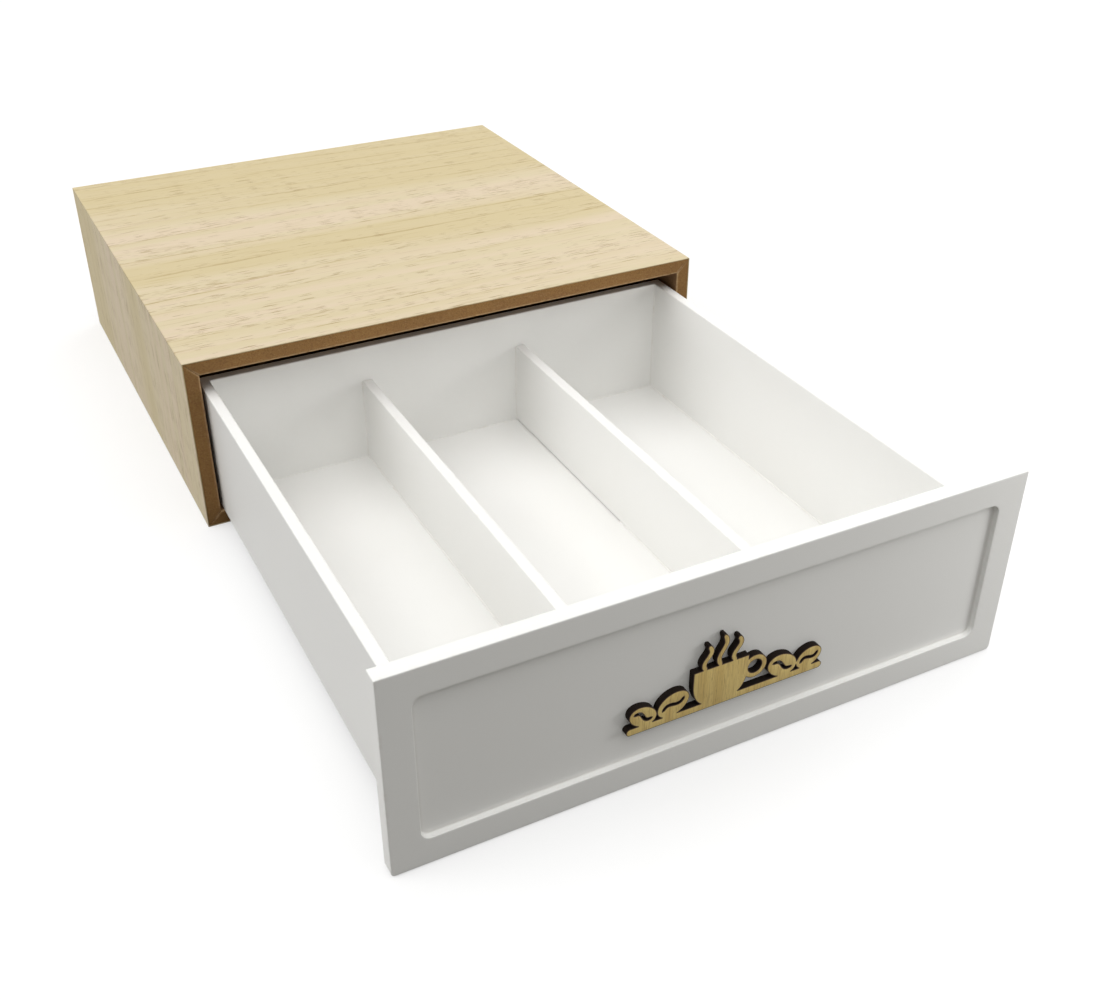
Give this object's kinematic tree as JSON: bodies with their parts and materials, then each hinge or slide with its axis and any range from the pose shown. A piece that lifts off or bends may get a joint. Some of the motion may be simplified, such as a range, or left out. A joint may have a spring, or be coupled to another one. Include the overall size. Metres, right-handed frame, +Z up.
{
  "type": "coffee capsule drawer",
  "caption": "Low veneered wooden casing with an open front and a white sliding drawer, which has lengthwise compartments for capsules and a recessed front with a plywood motif.",
  "frame": {"origin": "centre of the casing's underside, on the surface that it stands on", "axes": "+Z up; the open front faces -Y and the drawer slides out along -Y; +X is to the right of someone who looks along +Y at the front"},
  "size_m": [0.303, 0.5627, 0.0995],
  "materials": {
    "veneer": "pale satin wood veneer, grain across",
    "board": "brown fibreboard, matt",
    "back_board": "thin brown hardboard, matt",
    "white_paint": "white satin paint on fibreboard",
    "plywood": "laser-cut plywood with burnt edges",
    "zinc_steel": "zinc plated",
    "steel_wire": "bright drawn wire"
  },
  "bodies": {
    "casing": {"casing_top": "board", "casing_bottom": "board", "casing_left": "board", "casing_right": "board", "casing_back": "back_board", "veneer_top": "veneer", "veneer_bottom": "veneer", "veneer_left": "veneer", "veneer_right": "veneer", "back_pin_1": "steel_wire", "back_pin_2": "steel_wire", "back_pin_3": "steel_wire", "back_pin_4": "steel_wire", "back_pin_5": "steel_wire", "back_pin_6": "steel_wire"},
    "drawer": {"drawer_left_wall": "white_paint", "drawer_right_wall": "white_paint", "drawer_back_wall": "white_paint", "drawer_inner_front": "white_paint", "drawer_floor": "white_paint", "drawer_left_divider": "white_paint", "drawer_right_divider": "white_paint", "drawer_front_panel": "white_paint", "front_motif": "plywood", "front_screw_1": "zinc_steel", "front_screw_2": "zinc_steel", "front_screw_3": "zinc_steel", "front_screw_4": "zinc_steel", "wall_brad_1": "steel_wire", "wall_brad_2": "steel_wire", "wall_brad_3": "steel_wire", "wall_brad_4": "steel_wire", "wall_brad_5": "steel_wire", "wall_brad_6": "steel_wire", "wall_brad_7": "steel_wire", "wall_brad_8": "steel_wire", "divider_brad_1": "steel_wire", "divider_brad_2": "steel_wire", "divider_brad_3": "steel_wire", "divider_brad_4": "steel_wire"}
  },
  "joints": [
    {"name": "drawer_slide", "type": "slide", "parent": "casing", "child": "drawer", "axis": [0, -1, 0], "range_m": [-0.264, 0.015]}
  ]
}
